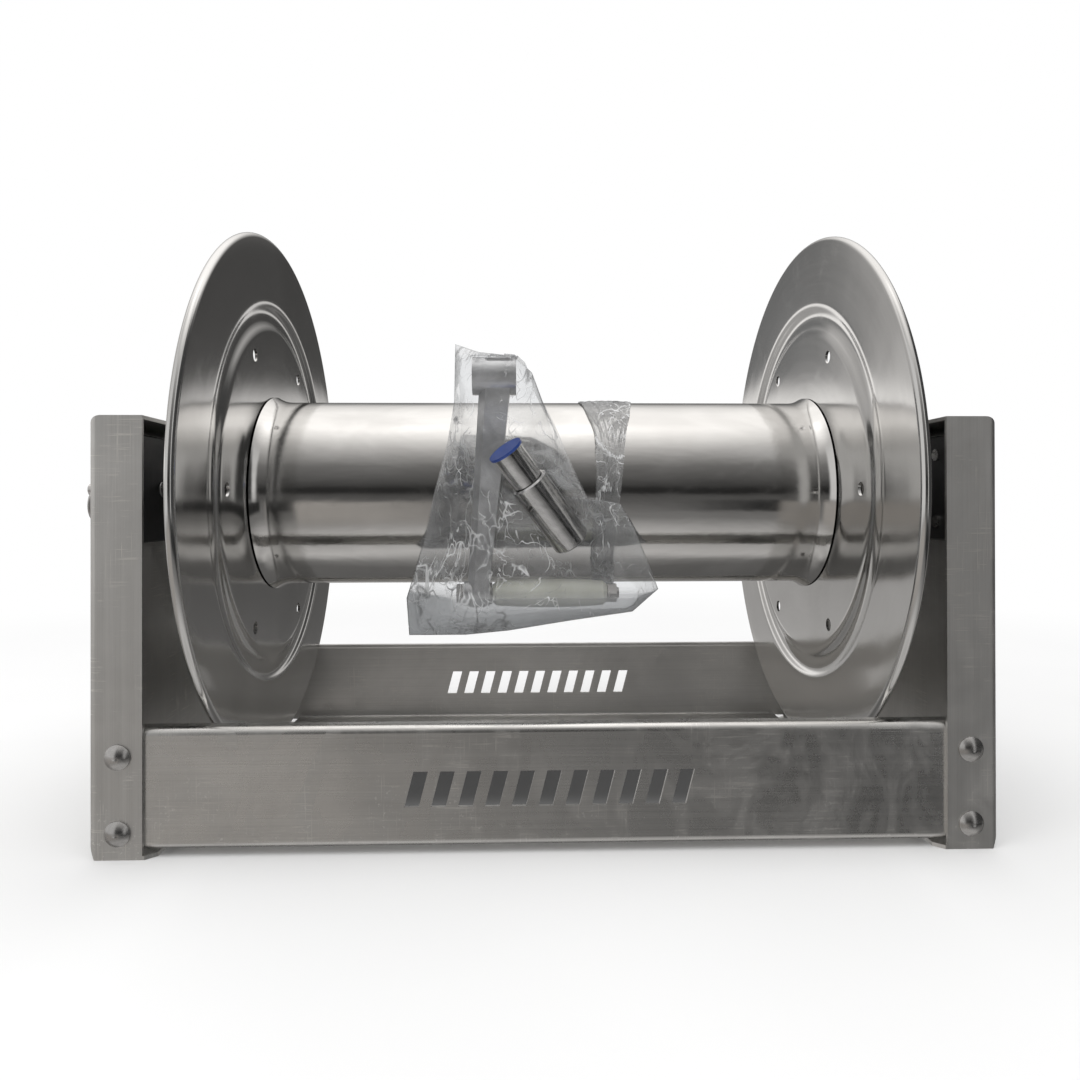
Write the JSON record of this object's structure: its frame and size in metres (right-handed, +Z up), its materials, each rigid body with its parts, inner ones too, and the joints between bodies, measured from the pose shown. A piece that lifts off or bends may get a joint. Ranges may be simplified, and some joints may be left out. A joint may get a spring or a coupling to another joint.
{
  "type": "fire hose reel",
  "caption": "Manual hose reel with a stainless frame, a drum between two spun discs, a spring lock pin, and its crank and swivel bagged on the drum.",
  "frame": {"origin": "centre of the four base bolt holes, on the underside of the two foot flanges", "axes": "+X along the drum's axle towards the water inlet, +Y to the back, +Z up"},
  "size_m": [0.69, 0.42, 0.449],
  "materials": {
    "stainless_brushed": "brushed stainless sheet",
    "stainless_spun": "spun satin stainless",
    "stainless_polished": "polished stainless",
    "fastener_steel": "satin stainless fasteners",
    "black_uhmw": "dull black bearing plastic",
    "washer_plastic": "natural bearing plastic",
    "spring_steel": "drawn spring wire",
    "cast_alloy": "cast and blasted",
    "grip_plastic": "translucent pale plastic",
    "cap_blue": "blue thread protector",
    "bag_film": "clear polythene film"
  },
  "bodies": {
    "frame": {"end_panel_left": "stainless_brushed", "end_panel_right": "stainless_brushed", "front_rail": "stainless_brushed", "rear_rail": "stainless_brushed", "rail_bolts": "fastener_steel", "rail_nuts": "fastener_steel", "bearing_bar_left": "black_uhmw", "bearing_bar_right": "black_uhmw", "bar_screws_left": "fastener_steel", "bar_screws_right": "fastener_steel"},
    "drum": {"drum_tube": "stainless_spun", "disc_left": "stainless_spun", "disc_right": "stainless_spun", "hub_left": "fastener_steel", "hub_right": "fastener_steel", "hub_backing_left": "fastener_steel", "hub_backing_right": "fastener_steel", "hub_bolts_left": "fastener_steel", "hub_bolts_right": "fastener_steel", "hub_nuts_left": "fastener_steel", "hub_nuts_right": "fastener_steel", "thrust_washer_left": "washer_plastic", "thrust_washer_right": "washer_plastic", "shaft_collar_left": "fastener_steel", "shaft_collar_right": "fastener_steel", "set_screws": "fastener_steel", "crank_shaft": "stainless_polished", "inlet_shaft": "stainless_polished", "manifold_elbow": "cast_alloy", "outlet_riser": "stainless_polished", "outlet_adapter": "stainless_polished", "crank_arm": "cast_alloy", "grip_bolt": "fastener_steel", "grip_washer": "fastener_steel", "grip_nut": "fastener_steel", "swivel_body": "stainless_polished", "bag_front": "bag_film", "bag_back": "bag_film", "bag_neck": "bag_film"},
    "lock_pin": {"lock_pin": "stainless_polished", "lock_collar": "stainless_polished", "lock_spring": "spring_steel"},
    "pull_ring": {"pull_ring": "stainless_polished"},
    "crank_grip": {"crank_grip": "grip_plastic"},
    "swivel_stem": {"swivel_stem": "stainless_polished", "swivel_cap": "cap_blue"}
  },
  "joints": [
    {"name": "drum_spin", "type": "hinge", "parent": "frame", "child": "drum", "pos_m": [0, 0, 0.239], "axis": [1, 0, 0], "continuous": true},
    {"name": "lock_pin_slide", "type": "slide", "parent": "frame", "child": "lock_pin", "axis": [1, 0, 0], "range_m": [0, 0.0135], "deforming": ["lock_spring"]},
    {"name": "pull_ring_swing", "type": "hinge", "parent": "lock_pin", "child": "pull_ring", "pos_m": [-0.313, -0.122, 0.239], "axis": [0, 1, 0], "range_deg": [0, 90]},
    {"name": "crank_grip_spin", "type": "hinge", "parent": "drum", "child": "crank_grip", "pos_m": [0, -0.0955, 0.163], "axis": [1, 0, 0], "continuous": true},
    {"name": "swivel_spin", "type": "hinge", "parent": "drum", "child": "swivel_stem", "pos_m": [-0.03, -0.126, 0.267], "axis": [0.5643, 0.3224, -0.76], "continuous": true}
  ]
}
